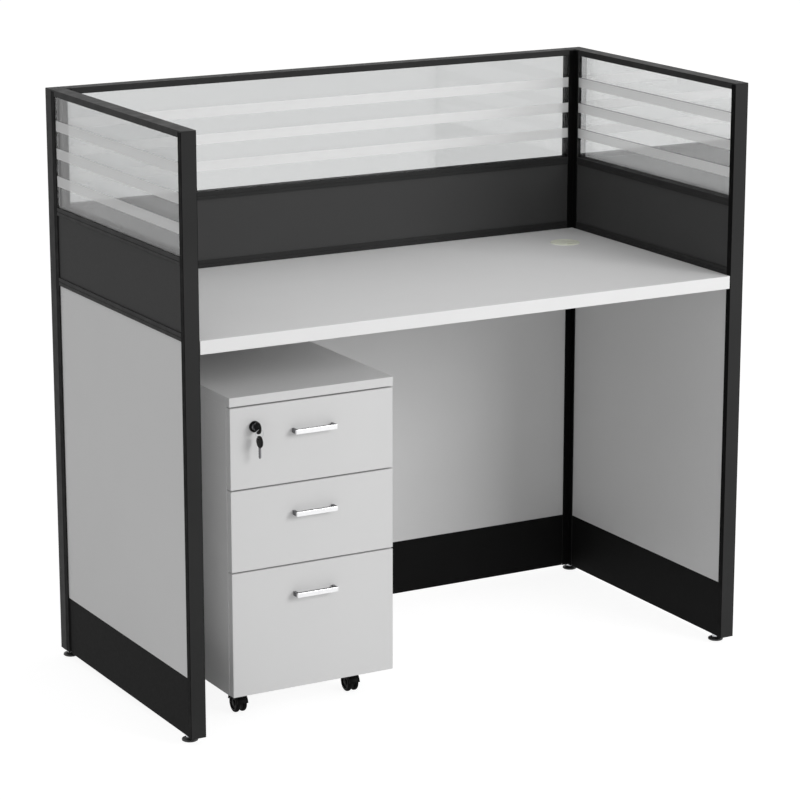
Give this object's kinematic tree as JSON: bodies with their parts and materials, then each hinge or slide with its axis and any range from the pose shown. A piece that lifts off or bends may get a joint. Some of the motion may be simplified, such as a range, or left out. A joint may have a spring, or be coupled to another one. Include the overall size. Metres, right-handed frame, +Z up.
{
  "type": "cubicle workstation",
  "caption": "Office cubicle workstation: glazed screens in black frames round a pale desktop, with a lockable mobile drawer pedestal under it.",
  "frame": {"origin": "on the floor, under the middle of the footprint", "axes": "+X to the sitter's right along the width, +Y towards the rear screen, +Z up"},
  "size_m": [1.2, 0.6, 1.13],
  "materials": {
    "black_frame": "satin black powder coat on aluminium extrusion",
    "kick_plate": "satin black powder coat",
    "dark_board": "matt dark grey laminate on chipboard",
    "light_board": "fine woven light grey laminate on chipboard",
    "desk_board": "pale grey melamine on chipboard",
    "pedestal_board": "pale grey melamine on chipboard",
    "box_board": "pale melamine",
    "glass": "clear, with three frosted stripes",
    "spacer": "satin",
    "steel": "zinc plated",
    "bracket": "black powder coat",
    "glide": "moulded over a steel stud",
    "grommet": "cream moulding",
    "handle": "polished",
    "lock_black": "black",
    "lock_steel": "nickel plated",
    "castor_black": "moulded nylon"
  },
  "bodies": {
    "workstation": {"left_frame": "black_frame", "left_glass": "glass", "left_upper_board": "dark_board", "left_lower_board": "light_board", "left_kick_plates": "kick_plate", "rear_frame": "black_frame", "rear_glass": "glass", "rear_upper_board": "dark_board", "rear_lower_board": "light_board", "rear_kick_plates": "kick_plate", "right_frame": "black_frame", "right_glass": "glass", "right_upper_board": "dark_board", "right_lower_board": "light_board", "right_kick_plates": "kick_plate", "corner_posts": "black_frame", "post_caps": "black_frame", "glass_spacers": "spacer", "corner_bolts": "steel", "desktop": "desk_board", "desk_brackets": "bracket", "desk_screws": "steel", "grommet_sleeve": "grommet"},
    "grommet_lid": {"grommet_cap": "grommet"},
    "left_front_foot": {"left_front_glide": "glide"},
    "left_rear_foot": {"left_rear_glide": "glide"},
    "right_front_foot": {"right_front_glide": "glide"},
    "right_rear_foot": {"right_rear_glide": "glide"},
    "pedestal": {"pedestal_top": "pedestal_board", "pedestal_left_side": "pedestal_board", "pedestal_right_side": "pedestal_board", "pedestal_floor": "pedestal_board", "pedestal_back": "pedestal_board", "pedestal_runners": "steel"},
    "drawer_1": {"drawer_1_front": "pedestal_board", "drawer_1_box": "box_board", "drawer_1_handle": "handle", "drawer_1_runners": "steel", "lock_housing": "lock_black"},
    "drawer_2": {"drawer_2_front": "pedestal_board", "drawer_2_box": "box_board", "drawer_2_handle": "handle", "drawer_2_runners": "steel"},
    "drawer_3": {"drawer_3_front": "pedestal_board", "drawer_3_box": "box_board", "drawer_3_handle": "handle", "drawer_3_runners": "steel"},
    "lock_cylinder": {"lock_core": "lock_steel", "key": "lock_black"},
    "ring": {"key_ring": "lock_steel"},
    "hanging_key": {"spare_key": "lock_black"},
    "locking_bar": {"lock_bar": "steel"},
    "castor_front_left_fork": {"castor_front_left_housing": "castor_black"},
    "castor_front_left_axle": {"castor_front_left_wheels": "castor_black"},
    "castor_front_right_fork": {"castor_front_right_housing": "castor_black"},
    "castor_front_right_axle": {"castor_front_right_wheels": "castor_black"},
    "castor_rear_left_fork": {"castor_rear_left_housing": "castor_black"},
    "castor_rear_left_axle": {"castor_rear_left_wheels": "castor_black"},
    "castor_rear_right_fork": {"castor_rear_right_housing": "castor_black"},
    "castor_rear_right_axle": {"castor_rear_right_wheels": "castor_black"}
  },
  "joints": [
    {"name": "grommet_lid_turn", "type": "hinge", "parent": "workstation", "child": "grommet_lid", "pos_m": [0.469, 0.139, 0.755], "axis": [0, 0, 1], "continuous": true},
    {"name": "left_front_foot_turn", "type": "hinge", "parent": "workstation", "child": "left_front_foot", "pos_m": [-0.585, -0.262, 0], "axis": [0, 0, 1], "continuous": true},
    {"name": "left_rear_foot_turn", "type": "hinge", "parent": "workstation", "child": "left_rear_foot", "pos_m": [-0.585, 0.285, 0], "axis": [0, 0, 1], "continuous": true},
    {"name": "right_front_foot_turn", "type": "hinge", "parent": "workstation", "child": "right_front_foot", "pos_m": [0.585, -0.262, 0], "axis": [0, 0, 1], "continuous": true},
    {"name": "right_rear_foot_turn", "type": "hinge", "parent": "workstation", "child": "right_rear_foot", "pos_m": [0.585, 0.285, 0], "axis": [0, 0, 1], "continuous": true},
    {"name": "pedestal_roll", "type": "slide", "parent": "workstation", "child": "pedestal", "axis": [0, -1, 0], "range_m": [0, 0.6]},
    {"name": "drawer_1_slide", "type": "slide", "parent": "pedestal", "child": "drawer_1", "axis": [0, -1, 0], "range_m": [0, 0.34]},
    {"name": "drawer_2_slide", "type": "slide", "parent": "pedestal", "child": "drawer_2", "axis": [0, -1, 0], "range_m": [0, 0.34]},
    {"name": "drawer_3_slide", "type": "slide", "parent": "pedestal", "child": "drawer_3", "axis": [0, -1, 0], "range_m": [0, 0.34]},
    {"name": "lock_turn", "type": "hinge", "parent": "drawer_1", "child": "lock_cylinder", "pos_m": [-0.44, -0.25, 0.572], "axis": [0, 1, 0], "range_deg": [0, 90]},
    {"name": "locking_bar_lift", "type": "slide", "parent": "pedestal", "child": "locking_bar", "axis": [0, 0, 1], "range_m": [0, 0.0114]},
    {"name": "ring_turn", "type": "hinge", "parent": "lock_cylinder", "child": "ring", "pos_m": [-0.44, -0.2715, 0.5629], "axis": [0, 1, 0], "range_deg": [-90, 0]},
    {"name": "hanging_key_swing", "type": "hinge", "parent": "ring", "child": "hanging_key", "pos_m": [-0.44, -0.2715, 0.5538], "axis": [1, 0, 0], "range_deg": [-20, 20]},
    {"name": "castor_front_left_swivel", "type": "hinge", "parent": "pedestal", "child": "castor_front_left_fork", "pos_m": [-0.44, -0.184, 0.06], "axis": [0, 0, 1], "continuous": true},
    {"name": "castor_front_left_roll", "type": "hinge", "parent": "castor_front_left_fork", "child": "castor_front_left_axle", "pos_m": [-0.44, -0.168, 0.018], "axis": [1, 0, 0], "continuous": true},
    {"name": "castor_front_right_swivel", "type": "hinge", "parent": "pedestal", "child": "castor_front_right_fork", "pos_m": [-0.202, -0.184, 0.06], "axis": [0, 0, 1], "continuous": true},
    {"name": "castor_front_right_roll", "type": "hinge", "parent": "castor_front_right_fork", "child": "castor_front_right_axle", "pos_m": [-0.202, -0.168, 0.018], "axis": [1, 0, 0], "continuous": true},
    {"name": "castor_rear_left_swivel", "type": "hinge", "parent": "pedestal", "child": "castor_rear_left_fork", "pos_m": [-0.44, 0.184, 0.06], "axis": [0, 0, 1], "continuous": true},
    {"name": "castor_rear_left_roll", "type": "hinge", "parent": "castor_rear_left_fork", "child": "castor_rear_left_axle", "pos_m": [-0.44, 0.2, 0.018], "axis": [1, 0, 0], "continuous": true},
    {"name": "castor_rear_right_swivel", "type": "hinge", "parent": "pedestal", "child": "castor_rear_right_fork", "pos_m": [-0.202, 0.184, 0.06], "axis": [0, 0, 1], "continuous": true},
    {"name": "castor_rear_right_roll", "type": "hinge", "parent": "castor_rear_right_fork", "child": "castor_rear_right_axle", "pos_m": [-0.202, 0.2, 0.018], "axis": [1, 0, 0], "continuous": true}
  ],
  "couplings": [
    {"joint": "locking_bar_lift", "follows": "lock_turn", "m_per_rad": 0.0072025},
    {"joint": "ring_turn", "follows": "lock_turn", "ratio": -1}
  ]
}
